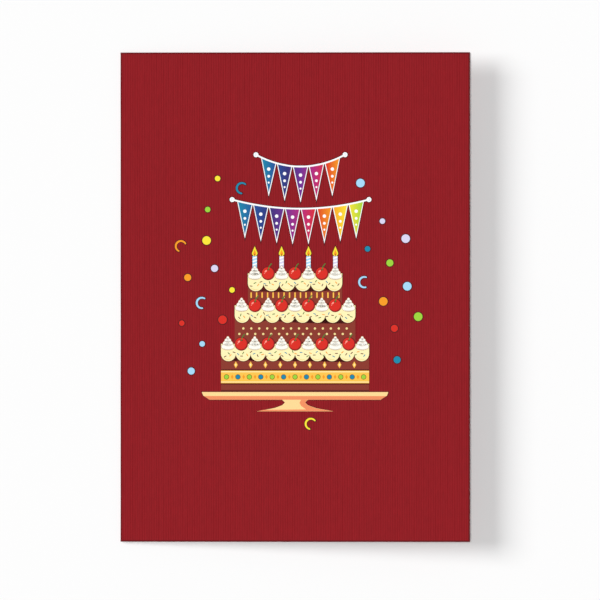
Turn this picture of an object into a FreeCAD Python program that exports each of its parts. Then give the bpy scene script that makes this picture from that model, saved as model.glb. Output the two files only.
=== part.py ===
"""Greeting card with a two-tier paper cake that folds flat inside it, lying closed on its back cover."""
import FreeCAD, Part
import math
import os
import Sketcher

# Driving dimensions, in millimetres, degrees and counts
SIZES = {
    # Cover: one folded sheet of ribbed card
    "card_width": 127.0,
    "card_height": 177.8,
    "cover_stock": 0.4,
    "fold_radius": 0.45,
    "gape": 5.0,
    # Paper cake: thinner card, glue lines and folds
    "stock": 0.2,
    "glue": 0.03,
    "lower_crease_radius": 0.2,
    "upper_crease_radius": 0.12,
    "side_crease_radius": 0.15,
    "lower_side": 48.0,
    "lower_height": 32.0,
    "upper_side": 30.0,
    "upper_height": 26.0,
    "tab_length": 8.0,
    "tab_inset": 3.0,
    "lid_trim": 2.0,
    "lower_post_half_width": 20.0,
    "upper_post_half_width": 12.5,
    "post_foot": 5.0,
    "foot_fold_offset": 0.6,
    "board_radius": 54.0,
    "board_start": 7.0,
    # Trim of the paper cake
    "icing_depth": 12.0,
    "drip_pitch": 8.0,
    "drip_gap": 3.2,
    "drip_length": 5.0,
    "drip_bevel": 0.9,
    "berry_radius": 2.2,
    "berry_pitch": 5.0,
    "berry_rise": 1.5,
    "berry_band": 3.0,
    "candle_width": 3.0,
    "candle_height": 32.0,
    "candle_spacing": 9.0,
    "flame_radius": 1.9,
    "flame_height": 5.5,
    # Print on the front cover
    "ink": 0.03,
    "flag_width": 5.0,
    "flag_drop": 11.5,
    "flag_border": 0.3,
    "flag_pitch": 5.8,
    "flag_sag": 2.2,
    "flag_row_centre": 2.0,
    "upper_row_top": 49.5,
    "lower_row_top": 34.2,
    "cake_foot": -34.5,
    "bottom_tier_half": 27.0,
    "bottom_tier_height": 17.5,
    "middle_tier_half": 22.0,
    "middle_tier_height": 14.0,
    "top_tier_half": 17.2,
    "top_tier_height": 11.6,
    "scallop_pitch": 5.4,
    "scallop_drop": 3.6,
    "cherry_radius": 2.3,
    "cherry_pitch": 4.8,
    "cherry_margin": 0.2,
    "print_candle_width": 1.6,
    "print_candle_height": 4.0,
    "print_flame_radius": 1.0,
    "print_flame_height": 2.6,
    "plate_half": 34.0,
    "plate_depth": 2.8,
    "stand_foot_half": 14.0,
    "stem_half": 4.7,
    "stand_depth": 7.0,
    "band_foot": 3.2,
    "band_height": 4.6,
    "band_dot_radius": 0.8,
    "band_dot_pitch": 4.0,
    "band_dot_margin": 1.2,
    "confetti_reach_x": 46.0,
    "confetti_reach_y": 53.0,
    "confetti_middle": 1.5,
    "confetti_room": 2.6,
    "confetti_radius": 1.0,
    "confetti_growth": 0.28,
    "curl_radius": 1.9,
    "curl_width": 0.8,
    "curl_sweep": 215.0,
}

# Ink fields: colour, and how many fields lie under it
INKS = {
    "white": 0, "chocolate": 0, "tan": 0,
    "cream": 1, "gold": 1,
    "red": 2, "piped_cream": 2, "teal": 2, "blue": 2, "indigo": 2, "purple": 2,
    "magenta": 2, "orange": 2, "yellow": 2, "lime": 2, "lilac": 2, "sky": 2,
}
UPPER_FLAGS = ["teal", "blue", "indigo", "magenta", "red"]
LOWER_FLAGS = ["teal", "blue", "indigo", "purple", "magenta", "red", "orange", "yellow"]
CANDLES = ["sky", "lilac", "sky", "lilac"]
CONFETTI = ["yellow", "sky", "red", "teal", "lilac", "orange", "sky", "lime"]
SCATTER_COUNT = 70
CURL_EVERY = 5
CURL_STEPS = 6
ROUND_SIDES = 12
CURL_TURN = 70
GOLDEN_ANGLE = 137.508

# Points of a sketch edge
START, END, CENTRE = range(1, 4)

doc = FreeCAD.newDocument("pop_up_card")
sheet = doc.addObject("Spreadsheet::Sheet", "Sizes")
layout = doc.addObject("App::VarSet", "Layout")
pieces = []


def fill_sheet():
    """Write every driving dimension into the sheet, with its name as its alias."""
    for row, (name, value) in enumerate(SIZES.items(), start=1):
        sheet.set(f"A{row}", name)
        sheet.set(f"B{row}", str(value))
        sheet.setAlias(f"B{row}", name)
    doc.recompute()


def work_out(name, formula, kind="App::PropertyFloat"):
    """Keep a size that follows from the driving dimensions under its own name."""
    layout.addProperty(kind, name)
    layout.setExpression(name, formula)
    layout.recompute()
    return f"Layout.{name}"


def new_piece(name):
    """An empty body whose label names the piece."""
    body = doc.addObject("PartDesign::Body", name)
    body.Label = name
    body.AllowCompound = True
    pieces.append(body)
    return body


def origin_part(body, role):
    """One of the body's own planes or axes."""
    return next(part for part in body.Origin.OriginFeatures if part.Role == role)


def new_sketch(body, role, name, lift="0"):
    """A sketch on one of the body's own planes, lifted along the plane's normal."""
    sketch = body.newObject("Sketcher::SketchObject", f"{body.Name}_{name}")
    sketch.AttachmentSupport = [(origin_part(body, role), "")]
    sketch.MapMode = "FlatFace"
    sketch.setExpression("AttachmentOffset.Base.z", lift)
    return sketch


def hold(sketch, places):
    """Fix coordinates with formulas. Each place is an edge, a point on it, a name, an axis and a formula."""
    rules = []
    for edge, point, name, axis, formula in places:
        value = sketch.evalExpression(formula)
        rule = Sketcher.Constraint(f"Distance{axis}", -1, 1, edge, point, value)
        rule.Name = f"{name}_{axis.lower()}"
        rules.append(rule)
    sketch.addConstraint(rules)
    for rule, place in zip(rules, places):
        sketch.setExpression(f"Constraints.{rule.Name}", place[-1])


def outline(sketch, label, corners):
    """Close an outline round its corners. A corner is (x, y) before a straight edge, or
    (x, y, (centre x, centre y, turn)) before an arc, where a turn of 1 goes anticlockwise."""
    places = [FreeCAD.Vector(sketch.evalExpression(c[0]), sketch.evalExpression(c[1]), 0) for c in corners]
    edges = []
    for number, corner in enumerate(corners):
        start = places[number]
        end = places[(number + 1) % len(corners)]
        if len(corner) == 2:
            edges.append((sketch.addGeometry(Part.LineSegment(start, end), False), START, END))
            continue
        centre_x, centre_y, turn = corner[2]
        centre = FreeCAD.Vector(sketch.evalExpression(centre_x), sketch.evalExpression(centre_y), 0)
        first, last = (start, end) if turn > 0 else (end, start)
        angles = [math.atan2(p.y - centre.y, p.x - centre.x) for p in (first, last)]
        circle = Part.Circle(centre, FreeCAD.Vector(0, 0, 1), (start - centre).Length)
        arc = sketch.addGeometry(Part.ArcOfCircle(circle, *angles), False)
        edges.append((arc, START, END) if turn > 0 else (arc, END, START))
    joins = []
    held = []
    for number, (edge, near, _) in enumerate(edges):
        last_edge, _, far = edges[number - 1]
        joins.append(Sketcher.Constraint("Coincident", last_edge, far, edge, near))
        for axis, formula in zip("XY", corners[number]):
            held.append((edge, near, f"{label}_{number}", axis, formula))
        if len(corners[number]) == 3:
            chord = places[(number + 1) % len(corners)] - places[number]
            axis = "X" if abs(chord.x) < abs(chord.y) else "Y"
            centre = corners[number][2]["XY".index(axis)]
            held.append((edge, CENTRE, f"{label}_{number}_centre", axis, centre))
    sketch.addConstraint(joins)
    hold(sketch, held)


def rectangle(sketch, label, left, bottom, right, top):
    """An upright rectangle between two corners."""
    outline(sketch, label, [(left, bottom), (right, bottom), (right, top), (left, top)])


def sheet_faces(label, stops, thickness, closed):
    """The two faces of a folded sheet, as corners for an outline. A stop is an end (x, y) or a fold
    (x, y, radius of the middle of the sheet, turn). The sheet runs straight from fold to fold."""
    full = [stop if len(stop) == 4 else (*stop, "0", 1) for stop in stops]
    count = len(full) if closed else len(full) - 1
    slopes = []
    for number in range(count):
        ax, ay, ar, aturn = full[number]
        bx, by, br, bturn = full[(number + 1) % len(full)]
        lean = f"(({bturn}) * ({br}) - ({aturn}) * ({ar})) / hypot(({bx}) - ({ax}); ({by}) - ({ay}))"
        formula = f"atan2(({by}) - ({ay}); ({bx}) - ({ax})) - asin({lean})"
        slopes.append(work_out(f"{label}_run_{number}", formula, "App::PropertyAngle"))

    def point(stop, slope, offset):
        x, y, radius, turn = stop
        reach = f"(({turn}) * ({radius}) - ({offset}))"
        return f"({x}) + sin({slope}) * {reach}", f"({y}) - cos({slope}) * {reach}"

    faces = []
    for offset in (f"{thickness} / 2", f"-{thickness} / 2"):
        corners = []
        for number, slope in enumerate(slopes):
            end = full[(number + 1) % len(full)]
            corners.append(point(full[number], slope, offset))
            if closed or number < count - 1:
                corners.append((*point(end, slope, offset), (end[0], end[1], end[3])))
            else:
                corners.append(point(end, slope, offset))
        faces.append(corners)
    return faces


def reverse(corners):
    """The same run of edges, walked the other way."""
    walked = []
    for number in range(len(corners) - 1, -1, -1):
        x, y = corners[number][:2]
        before = corners[number - 1] if number else ()
        if len(before) == 3:
            centre_x, centre_y, turn = before[2]
            walked.append((x, y, (centre_x, centre_y, -turn)))
        else:
            walked.append((x, y))
    return walked


def folded_sheet(sketch, label, stops, thickness):
    """Draw the section of a sheet with two free ends."""
    left, right = sheet_faces(label, stops, thickness, closed=False)
    outline(sketch, label, left + reverse(right))


def sheet_ring(sketch, label, stops, thickness):
    """Draw the section of a sheet whose ends are joined into a tube."""
    for side, corners in zip(("inner", "outer"), sheet_faces(label, stops, thickness, closed=True)):
        outline(sketch, f"{label}_{side}", corners)


def pad(body, sketch, length, both_ways=False):
    """Thicken a sketch along its normal."""
    feature = body.newObject("PartDesign::Pad", f"{sketch.Name}_pad")
    feature.Profile = sketch
    feature.SideType = "Symmetric" if both_ways else "One side"
    feature.setExpression("Length", length)
    return feature


def cut_through(body, sketch):
    """Cut a sketch right through the body, both ways from its plane."""
    feature = body.newObject("PartDesign::Pocket", f"{sketch.Name}_cut")
    feature.Profile = sketch
    feature.SideType = "Symmetric"
    feature.Type = "ThroughAll"
    return feature


def add_round(body, x, y, radius, lift, height):
    """A flat round with a few even sides, lying on the body's base plane."""
    feature = body.newObject("PartDesign::AdditivePrism", f"{body.Name}_round")
    feature.AttachmentSupport = [(origin_part(body, "XY_Plane"), "")]
    feature.MapMode = "FlatFace"
    feature.Polygon = ROUND_SIDES
    for name, formula in (("Circumradius", radius), ("Height", height), ("AttachmentOffset.Base.x", x),
                          ("AttachmentOffset.Base.y", y), ("AttachmentOffset.Base.z", lift)):
        feature.setExpression(name, formula)
    return feature


def repeat(body, feature, role, length, count):
    """Repeat a feature along one of the body's own axes."""
    row = body.newObject("PartDesign::LinearPattern", f"{feature.Name}_row")
    row.Originals = [feature]
    row.Direction = (origin_part(body, role), [""])
    row.setExpression("Length", length)
    row.setExpression("Occurrences", count)
    body.Tip = row


def stand(body, angle, x, z):
    """Tilt a body about the card's long axis and set it at a height."""
    body.Placement = FreeCAD.Placement(FreeCAD.Vector(), FreeCAD.Rotation(FreeCAD.Vector(0, -1, 0), 1))
    body.setExpression("Placement.Rotation.Angle", angle)
    body.setExpression("Placement.Base.x", x)
    body.setExpression("Placement.Base.z", z)


def in_book(body):
    """Set a body that is drawn from the fold's axis, with X midway between the covers."""
    stand(body, "Sizes.gape / 2", "Layout.spine_x", "Layout.fold_outside")


def work_out_layout():
    """Places that several pieces share. Distances out run from the fold's axis, midway between the
    covers. Distances apart run from that middle plane to a face."""
    work_out("fold_outside", "Sizes.fold_radius + Sizes.cover_stock")
    work_out("spine_x", "-Sizes.card_width / 2 + Layout.fold_outside")
    work_out("half_gape", "Sizes.gape / 2", "App::PropertyAngle")
    work_out("lower_reach", "Sizes.lower_side * sin(60)")
    work_out("upper_reach", "Sizes.upper_side * sin(60)")
    work_out("lower_top", "Layout.lower_reach + Sizes.lower_height")
    work_out("upper_foot", "Sizes.lower_height + Layout.upper_reach")
    work_out("upper_top", "Layout.upper_foot + Sizes.upper_height")
    work_out("upper_crease_out", "Sizes.lower_height + Sizes.upper_height")
    work_out("cover_start", "(Sizes.fold_radius - 2 * Sizes.glue - Sizes.stock) / cos(Layout.half_gape)")
    work_out("flag_lean", "atan2(Sizes.flag_width / 2; Sizes.flag_drop)", "App::PropertyAngle")
    rise = "(Layout.fold_outside * sin(Sizes.gape) - Layout.spine_x) * tan(Sizes.gape)"
    work_out("print_z", f"Layout.fold_outside * (1 + cos(Sizes.gape)) + {rise}")
    work_out("middle_tier_foot", "Sizes.cake_foot + Sizes.bottom_tier_height")
    work_out("top_tier_foot", "Layout.middle_tier_foot + Sizes.middle_tier_height")
    work_out("cake_top", "Layout.top_tier_foot + Sizes.top_tier_height")


def make_cover():
    """One sheet of card, folded once, with the front cover gaping over the back cover. The front
    cover is cut longer, so that its edge lies right over the back cover's."""
    body = new_piece("card_cover")
    sketch = new_sketch(body, "XZ_Plane", "section")
    middle = "(Sizes.fold_radius + Sizes.cover_stock / 2)"
    back_leaf = "(Sizes.card_width - Layout.fold_outside)"
    front_leaf = f"(({back_leaf} + Sizes.fold_radius * sin(Sizes.gape)) / cos(Sizes.gape))"
    ends = []
    for leaf, side in ((front_leaf, 1), (back_leaf, -1)):
        out = f"{leaf} * cos(Layout.half_gape) - {middle} * sin(Layout.half_gape)"
        apart = f"{side} * ({leaf} * sin(Layout.half_gape) + {middle} * cos(Layout.half_gape))"
        ends.append((out, apart))
    stops = [ends[0], ("0", "0", middle, 1), ends[1]]
    folded_sheet(sketch, "cover", stops, "Sizes.cover_stock")
    pad(body, sketch, "Sizes.card_height", both_ways=True)
    in_book(body)


def make_board(name, angle, z_from_axis):
    """Half of the round board under the cake, glued inside one cover."""
    body = new_piece(name)
    sketch = new_sketch(body, "XY_Plane", "outline")
    half = "sqrt(Sizes.board_radius ^ 2 - Sizes.board_start ^ 2)"
    rim = ("0", "0", 1)
    outline(sketch, "board", [("Sizes.board_start", f"-{half}", rim), ("Sizes.board_start", half)])
    pad(body, sketch, "Sizes.stock")
    stand(body, angle, f"Layout.spine_x - ({z_from_axis}) * sin({angle})",
          f"Layout.fold_outside + ({z_from_axis}) * cos({angle})")


def make_tier(name, side, foot, height, start, origin, slope):
    """A six-sided tube, pressed flat by the closed covers, with a glued tab on each long side.
    Its long sides stand off the middle plane by as much as their tabs do where they meet."""
    body = new_piece(name)
    apart = work_out(f"{name}_outside", f"{start} + ({foot} - {origin}) * tan({slope})")
    middle = work_out(f"{name}_middle", f"{apart} - Sizes.stock / 2")
    tip = work_out(f"{name}_tip", f"{side} / 2 + sqrt({side} ^ 2 - {middle} ^ 2)")
    sketch = new_sketch(body, "YZ_Plane", "tube", foot)
    sheet_ring(sketch, f"{name}_tube", tube_stops(side, middle, tip, "0"), "Sizes.stock")
    pad(body, sketch, height)
    tabs = new_sketch(body, "XZ_Plane", "tabs")
    tab_end = f"({foot} - Sizes.tab_length)"
    end_apart = f"({start} + ({tab_end} - {origin}) * tan({slope}))"
    for sign, label in ((1, "front"), (-1, "back")):
        outline(tabs, f"{label}_tab", [
            (foot, f"{sign} * {apart}"), (tab_end, f"{sign} * {end_apart}"),
            (tab_end, f"{sign} * ({end_apart} - Sizes.stock)"), (foot, f"{sign} * ({apart} - Sizes.stock)")])
    pad(body, tabs, f"{side} - 2 * Sizes.tab_inset", both_ways=True)
    in_book(body)
    return middle, tip


def tube_stops(side, middle, tip, grow):
    """Folds of a flattened six-sided tube, each grown outwards by the same amount."""
    bend = "Sizes.side_crease_radius + Sizes.stock / 2"
    corner = f"({middle} - ({bend}))"
    nose = f"Sizes.glue + Sizes.stock / 2 + {grow}"
    stops = []
    corners = ((1, -1, bend), (1, 0, nose), (1, 1, bend), (-1, 1, bend), (-1, 0, nose), (-1, -1, bend))
    for x, y, radius in corners:
        along = f"{x} * ({tip if y == 0 else side + ' / 2'})"
        stops.append((along, f"{y} * {corner}", radius if y == 0 else f"{bend} + {grow}", 1))
    return stops


def make_lid(name, side, crease_out, crease_radius, top, middle):
    """A creased six-sided top. Its two halves fold inwards between the tube's long sides, and
    their tabs turn over the tube's rims and are glued outside them."""
    body = new_piece(name)
    sketch = new_sketch(body, "XZ_Plane", "section")
    wrap = "(Sizes.stock + Sizes.glue)"
    tab_end = f"{top} - Sizes.tab_length"
    tab_apart = f"({middle} + {wrap})"
    crease = f"({crease_radius} + Sizes.stock / 2)"
    stops = [
        (tab_end, tab_apart), (top, middle, wrap, -1), (crease_out, "0", crease, 1),
        (top, f"-{middle}", wrap, -1), (tab_end, f"-{tab_apart}")]
    folded_sheet(sketch, name, stops, "Sizes.stock")
    pad(body, sketch, f"2 * {side}", both_ways=True)
    waste = new_sketch(body, "XY_Plane", "waste")
    near = f"{crease_out} - {side}"
    far = f"{top} + {side}"
    rim_half = f"({side} / 2 - Sizes.lid_trim)"
    crease_half = f"({side} - Sizes.lid_trim)"
    for sign, label in ((1, "upper"), (-1, "lower")):
        outline(waste, label, [
            (near, f"{sign} * {crease_half}"), (crease_out, f"{sign} * {crease_half}"),
            (tab_end, f"{sign} * {rim_half}"), (far, f"{sign} * {rim_half}"),
            (far, f"{sign} * 2 * {side}"), (near, f"{sign} * 2 * {side}")])
    cut_through(body, waste)
    in_book(body)


def make_lower_post():
    """The strip from the fold to the lower top's crease. Its foot is glued inside the back cover."""
    body = new_piece("lower_centre_post")
    sketch = new_sketch(body, "XZ_Plane", "section")
    lean = "Layout.half_gape"
    gap = f"(Sizes.fold_radius + Sizes.foot_fold_offset * sin({lean}))"
    bend = f"(({gap} - Sizes.stock / 2 - Sizes.glue) / (1 + cos({lean})))"
    foot_end = "(Sizes.foot_fold_offset + Sizes.post_foot)"
    foot_middle = "(Sizes.fold_radius - Sizes.glue - Sizes.stock / 2)"
    foot_apart = f"({foot_middle} / cos({lean}) + {foot_end} * tan({lean}))"
    post_end = "Sizes.lower_height - Sizes.lower_crease_radius - Sizes.stock - Sizes.glue"
    stops = [(foot_end, f"-{foot_apart}"), ("Sizes.foot_fold_offset", f"-{bend}", bend, -1), (post_end, "0")]
    folded_sheet(sketch, "post", stops, "Sizes.stock")
    pad(body, sketch, "2 * Sizes.lower_post_half_width", both_ways=True)
    in_book(body)


def make_upper_post():
    """The plain strip between the two creases."""
    body = new_piece("upper_centre_post")
    sketch = new_sketch(body, "XY_Plane", "outline")
    near = "Sizes.lower_height - Sizes.lower_crease_radius + 2 * Sizes.glue"
    far = "Layout.upper_crease_out - Sizes.upper_crease_radius - Sizes.stock - Sizes.glue"
    half = "Sizes.upper_post_half_width"
    rectangle(sketch, "post", near, f"-{half}", far, half)
    pad(body, sketch, "Sizes.stock", both_ways=True)
    in_book(body)


def make_icing(name, side, middle, tip, top):
    """A collar round a tier, over the glued tabs, with rounded drips along its lower edge."""
    body = new_piece(name)
    grow = "(2 * Sizes.stock + 2 * Sizes.glue)"
    start = f"({top} - Sizes.icing_depth)"
    sketch = new_sketch(body, "YZ_Plane", "collar", start)
    sheet_ring(sketch, f"{name}_collar", tube_stops(side, middle, tip, grow), "Sizes.stock")
    pad(body, sketch, "Sizes.icing_depth")
    gap = new_sketch(body, "XY_Plane", "gap")
    half = "Sizes.drip_gap / 2"
    count = f"2 * floor({tip} / Sizes.drip_pitch) + 1"
    first = work_out(f"{name}_first_gap", f"-floor({tip} / Sizes.drip_pitch) * Sizes.drip_pitch")
    deep = f"({start} + Sizes.drip_length)"
    bevel = f"({half} - Sizes.drip_bevel)"
    outline(gap, "gap", [
        (f"{start} - {half}", f"{first} - {half}"), (f"{deep} - Sizes.drip_bevel", f"{first} - {half}"),
        (deep, f"{first} - {bevel}"), (deep, f"{first} + {bevel}"),
        (f"{deep} - Sizes.drip_bevel", f"{first} + {half}"), (f"{start} - {half}", f"{first} + {half}")])
    repeat(body, cut_through(body, gap), "Y_Axis", f"-2 * {first}", count)
    in_book(body)


def make_berry_row(name, side, middle, top, sign):
    """A strip of round berries along the rim of one long side, glued outside the icing."""
    body = new_piece(name)
    inside = f"({middle} + 2.5 * Sizes.stock + 3 * Sizes.glue)"
    lift = inside if sign > 0 else f"-{inside} - Sizes.stock"
    half = f"({side} / 2 - Sizes.tab_inset)"
    count = work_out(f"{name}_steps", f"floor(({half} - Sizes.berry_radius) / Sizes.berry_pitch)")
    band = new_sketch(body, "XY_Plane", "band", lift)
    band_half = f"({count} * Sizes.berry_pitch + Sizes.berry_radius / 2)"
    rise = f"({top} + Sizes.berry_rise)"
    rectangle(band, "band", f"{top} - Sizes.berry_band", f"-{band_half}", rise, band_half)
    pad(body, band, "Sizes.stock")
    first = f"-{count} * Sizes.berry_pitch"
    berry = add_round(body, rise, first, "Sizes.berry_radius", lift, "Sizes.stock")
    repeat(body, berry, "Y_Axis", f"2 * {count} * Sizes.berry_pitch", f"2 * {count} + 1")
    in_book(body)


def make_candle(name, place):
    """A flat candle with its flame, standing in the upper top's crease."""
    body = new_piece(name)
    middle = f"{place} * Sizes.candle_spacing"
    foot = "Layout.upper_crease_out"
    rim = f"({foot} + Sizes.candle_height)"
    sketch = new_sketch(body, "XY_Plane", "stick")
    half = "Sizes.candle_width / 2"
    rectangle(sketch, "stick", foot, f"{middle} - {half}", rim, f"{middle} + {half}")
    pad(body, sketch, "Sizes.stock", both_ways=True)
    flame = new_sketch(body, "XY_Plane", "flame")
    flame_foot = f"{rim} + Sizes.flame_radius / 2"
    outline(flame, "flame", flame_corners(flame_foot, middle, "Sizes.flame_radius", "Sizes.flame_height"))
    pad(body, flame, "Sizes.stock", both_ways=True)
    in_book(body)


def flame_corners(x, y, radius, height):
    """A drop: most of a circle, closed by its two tangents from a point at the given distance along X."""
    along = f"{radius} ^ 2 / {height}"
    aside = f"({radius} * sqrt(1 - ({radius} / {height}) ^ 2))"
    return [
        (f"{x} + {height}", y),
        (f"{x} + {along}", f"{y} + {aside}", (x, y, 1)),
        (f"{x} + {along}", f"{y} - {aside}")]


def upright(corners):
    """Turn corners a quarter turn, so that X becomes Y."""
    turned = []
    for corner in corners:
        place = (f"-({corner[1]})", corner[0])
        if len(corner) == 3:
            place = (*place, (f"-({corner[2][1]})", corner[2][0], corner[2][2]))
        turned.append(place)
    return turned


def flag_rows():
    """The two rows of pennants: their colours and the height of their ends."""
    return (UPPER_FLAGS, "Sizes.upper_row_top"), (LOWER_FLAGS, "Sizes.lower_row_top")


def cord_height(flags, top, out):
    """Height of a row's sagging cord at a distance out from the row's middle."""
    reach = f"({(len(flags) - 1) / 2} * Sizes.flag_pitch)"
    return f"({top} - Sizes.flag_sag * (1 - (({out}) / {reach}) ^ 2))"


def draw_flag(sketch, label, flags, top, number, border):
    """One pennant, with its top edge along the cord and its tip straight below its middle."""
    lean = "Layout.flag_lean"
    half = f"(Sizes.flag_width / 2 + {border} * (1 / cos({lean}) + tan({lean})))"
    out = f"{number - (len(flags) - 1) / 2} * Sizes.flag_pitch"
    left, middle, right = (cord_height(flags, top, f"{out} + {side} * {half}") for side in (-1, 0, 1))
    outline(sketch, label, [
        (f"Sizes.flag_row_centre + {out} - {half}", f"{left} + {border}"),
        (f"Sizes.flag_row_centre + {out}", f"{middle} - Sizes.flag_drop - {border} / sin({lean})"),
        (f"Sizes.flag_row_centre + {out} + {half}", f"{right} + {border}")])


def draw_flags(fields):
    """Pennants: a white triangle, and a coloured one that leaves a border all round."""
    for row, (flags, top) in enumerate(flag_rows()):
        for number, colour in enumerate(flags):
            label = f"flag_{row}_{number}"
            draw_flag(fields["white"], label, flags, top, number, "Sizes.flag_border")
            draw_flag(fields[colour], label, flags, top, number, "0")


def tier_rows():
    """The three printed tiers: name, half width and top edge."""
    return (
        ("bottom", "Sizes.bottom_tier_half", "Layout.middle_tier_foot"),
        ("middle", "Sizes.middle_tier_half", "Layout.top_tier_foot"),
        ("top", "Sizes.top_tier_half", "Layout.cake_top"))


def print_lift(ink):
    """How far a colour's fields stand off the cover: the fields under it lie between."""
    return f"{INKS[ink]} * Sizes.ink"


def print_round(bodies, ink, x, y, radius):
    """A round field of one ink."""
    return add_round(bodies[ink], x, y, radius, print_lift(ink), "Sizes.ink")


def alternate_rounds(bodies, inks, half, y, kind):
    """A row of rounds in two inks by turns, at least a pitch apart. The second ink has both ends of
    the row, at the kind's margin from the tier's sides."""
    radius = f"Sizes.{kind}_radius"
    room = f"({half} - {radius} - Sizes.{kind}_margin)"
    count = f"floor({room} / Sizes.{kind}_pitch)"
    for ink, fewer in zip(inks, (1, 0)):
        reach = f"({count} - {fewer}) * {room} / {count}"
        first = print_round(bodies, ink, f"-({reach})", y, radius)
        repeat(bodies[ink], first, "X_Axis", f"2 * {reach}", f"{count} - {fewer} + 1")


def print_cake(bodies, fields):
    """A stepped cake body, its icing with scallops, cherries and piped cream, and its stand."""
    steps = [
        ("Sizes.top_tier_half", "Layout.cake_top"),
        ("Sizes.top_tier_half", "Layout.top_tier_foot"),
        ("Sizes.middle_tier_half", "Layout.top_tier_foot"),
        ("Sizes.middle_tier_half", "Layout.middle_tier_foot"),
        ("Sizes.bottom_tier_half", "Layout.middle_tier_foot"),
        ("Sizes.bottom_tier_half", "Sizes.cake_foot")]
    left = [(f"-{half}", y) for half, y in steps]
    outline(fields["chocolate"], "body", left + steps[::-1])
    for name, half, top in tier_rows():
        rectangle(fields["cream"], f"{name}_icing", f"-{half}", f"{top} - Sizes.scallop_drop", half, top)
    draw_candles(fields)
    band_foot = "(Sizes.cake_foot + Sizes.band_foot)"
    rectangle(fields["gold"], "band", "-Sizes.bottom_tier_half", band_foot, "Sizes.bottom_tier_half",
              f"{band_foot} + Sizes.band_height")
    plate_foot = "(Sizes.cake_foot - Sizes.plate_depth)"
    stand_foot = "(Sizes.cake_foot - Sizes.stand_depth)"
    profile = [
        ("Sizes.plate_half", "Sizes.cake_foot"),
        ("Sizes.plate_half - Sizes.plate_depth", plate_foot),
        ("Sizes.stem_half", plate_foot),
        ("Sizes.stem_half", f"{stand_foot} / 2 + {plate_foot} / 2"),
        ("Sizes.stand_foot_half", stand_foot)]
    outline(fields["tan"], "stand", [(f"-({x})", y) for x, y in profile] + profile[::-1])


def print_cake_rounds(bodies):
    """The scallops under each rim, the cherries and piped cream on it, and the band's dots."""
    for name, half, top in tier_rows():
        count = f"floor(2 * {half} / Sizes.scallop_pitch)"
        radius = f"({half} / {count})"
        centre_y = f"{top} - Sizes.scallop_drop"
        first = print_round(bodies, "cream", f"-{half} + {radius}", centre_y, radius)
        repeat(bodies["cream"], first, "X_Axis", f"2 * {half} - 2 * {radius}", count)
        alternate_rounds(bodies, ("red", "piped_cream"), half, top, "cherry")
    band_middle = "Sizes.cake_foot + Sizes.band_foot + Sizes.band_height / 2"
    alternate_rounds(bodies, ("teal", "lime"), "Sizes.bottom_tier_half", band_middle, "band_dot")


def draw_candles(fields):
    """Four printed candles, spread evenly over the top tier, each with a flame."""
    foot = "Layout.cake_top + Sizes.cherry_radius"
    rim = f"({foot} + Sizes.print_candle_height)"
    room = "(Sizes.top_tier_half - Sizes.cherry_radius - Sizes.cherry_margin)"
    for number, ink in enumerate(CANDLES):
        x = f"{2 * number / (len(CANDLES) - 1) - 1} * {room}"
        half = "Sizes.print_candle_width / 2"
        rectangle(fields[ink], f"candle_{number}", f"{x} - {half}", foot, f"{x} + {half}", rim)
        flame_foot = f"{rim} + Sizes.print_flame_radius"
        drop = flame_corners(flame_foot, f"-({x})", "Sizes.print_flame_radius", "Sizes.print_flame_height")
        outline(fields["yellow"], f"flame_{number}", upright(drop))


def artwork_boxes():
    """Half width, middle, foot and top of what the confetti keeps clear of."""
    row_half = "({} * Sizes.flag_pitch / 2 + Sizes.flag_border)"
    boxes = [
        ("Sizes.plate_half", "0", "Sizes.cake_foot - Sizes.stand_depth", "Sizes.cake_foot"),
        ("Sizes.bottom_tier_half", "0", "Sizes.cake_foot", "Layout.middle_tier_foot + Sizes.cherry_radius"),
        ("Sizes.middle_tier_half", "0", "Sizes.cake_foot", "Layout.top_tier_foot + Sizes.cherry_radius"),
        ("Sizes.top_tier_half", "0", "Sizes.cake_foot", "Sizes.lower_row_top")]
    for flags, top in flag_rows():
        boxes.append((row_half.format(len(flags)), "Sizes.flag_row_centre",
                      f"{top} - Sizes.flag_sag - Sizes.flag_drop", top))
    return boxes


def confetti_places(sketch):
    """Places turned by the golden angle and spread evenly over an oval, clear of the artwork."""
    boxes = [[float(sketch.evalExpression(size)) for size in box] for box in artwork_boxes()]
    room = float(sketch.evalExpression("Sizes.confetti_room"))
    places = []
    for number in range(SCATTER_COUNT):
        share = math.sqrt((number + 0.5) / SCATTER_COUNT)
        angle = number * GOLDEN_ANGLE
        place = (f"{share:.4f} * Sizes.confetti_reach_x * cos({angle:.3f})",
                 f"Sizes.confetti_middle + {share:.4f} * Sizes.confetti_reach_y * sin({angle:.3f})")
        x, y = (float(sketch.evalExpression(formula)) for formula in place)
        if all(abs(x - middle) > half + room or not foot - room < y < top + room
               for half, middle, foot, top in boxes):
            places.append(place)
    return places


def draw_curl(sketch, label, x, y, turn):
    """An open ring of paper ribbon, in short straight steps."""
    corners = []
    for side, steps in ((1, range(CURL_STEPS + 1)), (-1, range(CURL_STEPS, -1, -1))):
        radius = f"(Sizes.curl_radius + {side} * Sizes.curl_width / 2)"
        for step in steps:
            angle = f"({turn} + {step} / {CURL_STEPS} * Sizes.curl_sweep)"
            corners.append((f"{x} + {radius} * cos({angle})", f"{y} + {radius} * sin({angle})"))
    outline(sketch, label, corners)


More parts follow.
